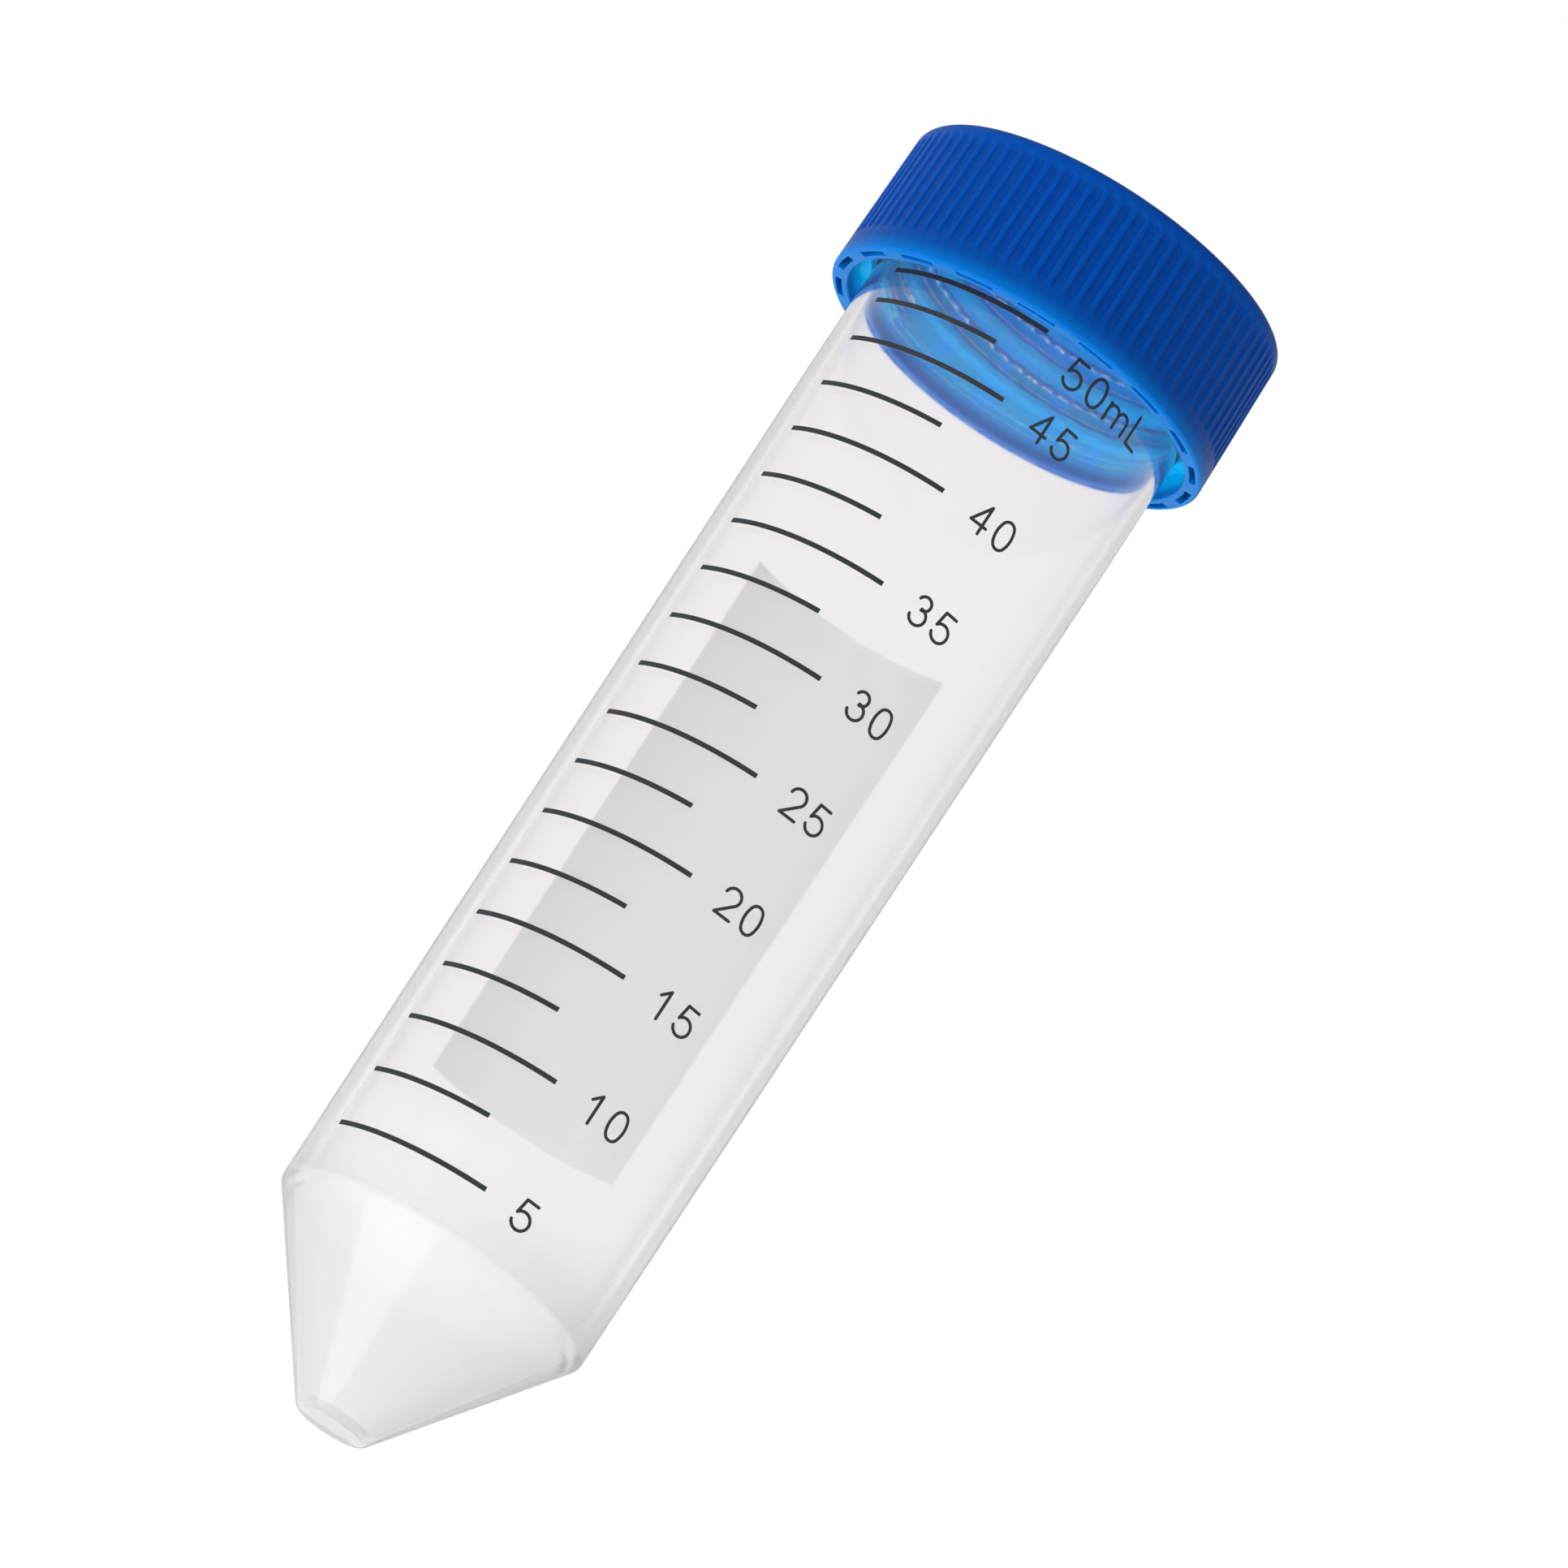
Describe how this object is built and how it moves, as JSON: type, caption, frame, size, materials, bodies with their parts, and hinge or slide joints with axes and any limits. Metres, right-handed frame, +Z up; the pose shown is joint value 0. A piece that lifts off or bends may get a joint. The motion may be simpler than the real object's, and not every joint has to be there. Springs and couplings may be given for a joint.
{
  "type": "conical centrifuge tube",
  "caption": "Clear conical-bottom tube with a printed volume scale, a writing patch and a ribbed blue screw cap that unscrews.",
  "frame": {"origin": "middle of the flat tip at the bottom of the cone", "axes": "+Z runs up the tube's axis towards the cap, and the printed scale faces -Y"},
  "size_m": [0.0346, 0.0346, 0.1153],
  "materials": {
    "clear_polypropylene": "clear, faintly milky moulded plastic",
    "blue_polyethylene": "satin moulded plastic",
    "soft_seal": "soft matt silicone",
    "black_ink": "screen-printed ink",
    "patch_print": "chalky matt print"
  },
  "bodies": {
    "tube": {"tube_body": "clear_polypropylene", "writing_patch": "patch_print", "scale_line_05_0_ml": "black_ink", "scale_line_07_5_ml": "black_ink", "scale_line_10_0_ml": "black_ink", "scale_line_12_5_ml": "black_ink", "scale_line_15_0_ml": "black_ink", "scale_line_17_5_ml": "black_ink", "scale_line_20_0_ml": "black_ink", "scale_line_22_5_ml": "black_ink", "scale_line_25_0_ml": "black_ink", "scale_line_27_5_ml": "black_ink", "scale_line_30_0_ml": "black_ink", "scale_line_32_5_ml": "black_ink", "scale_line_35_0_ml": "black_ink", "scale_line_37_5_ml": "black_ink", "scale_line_40_0_ml": "black_ink", "scale_line_42_5_ml": "black_ink", "scale_line_45_0_ml": "black_ink", "scale_line_47_5_ml": "black_ink", "scale_line_50_0_ml": "black_ink", "scale_number_05": "black_ink", "scale_number_10": "black_ink", "scale_number_15": "black_ink", "scale_number_20": "black_ink", "scale_number_25": "black_ink", "scale_number_30": "black_ink", "scale_number_35": "black_ink", "scale_number_40": "black_ink", "scale_number_45": "black_ink", "scale_number_50": "black_ink"},
    "seal": {"seal_ring": "soft_seal"},
    "cap": {"screw_cap": "blue_polyethylene"}
  },
  "joints": [
    {"name": "cap_lift", "type": "slide", "parent": "tube", "child": "seal", "axis": [0, 0, 1], "range_m": [0, 0.0135]},
    {"name": "cap_turn", "type": "hinge", "parent": "seal", "child": "cap", "pos_m": [0, 0, 0.109], "axis": [0, 0, 1], "range_deg": [0, 810]}
  ],
  "couplings": [
    {"joint": "cap_lift", "follows": "cap_turn", "m_per_rad": 0.00095493}
  ]
}
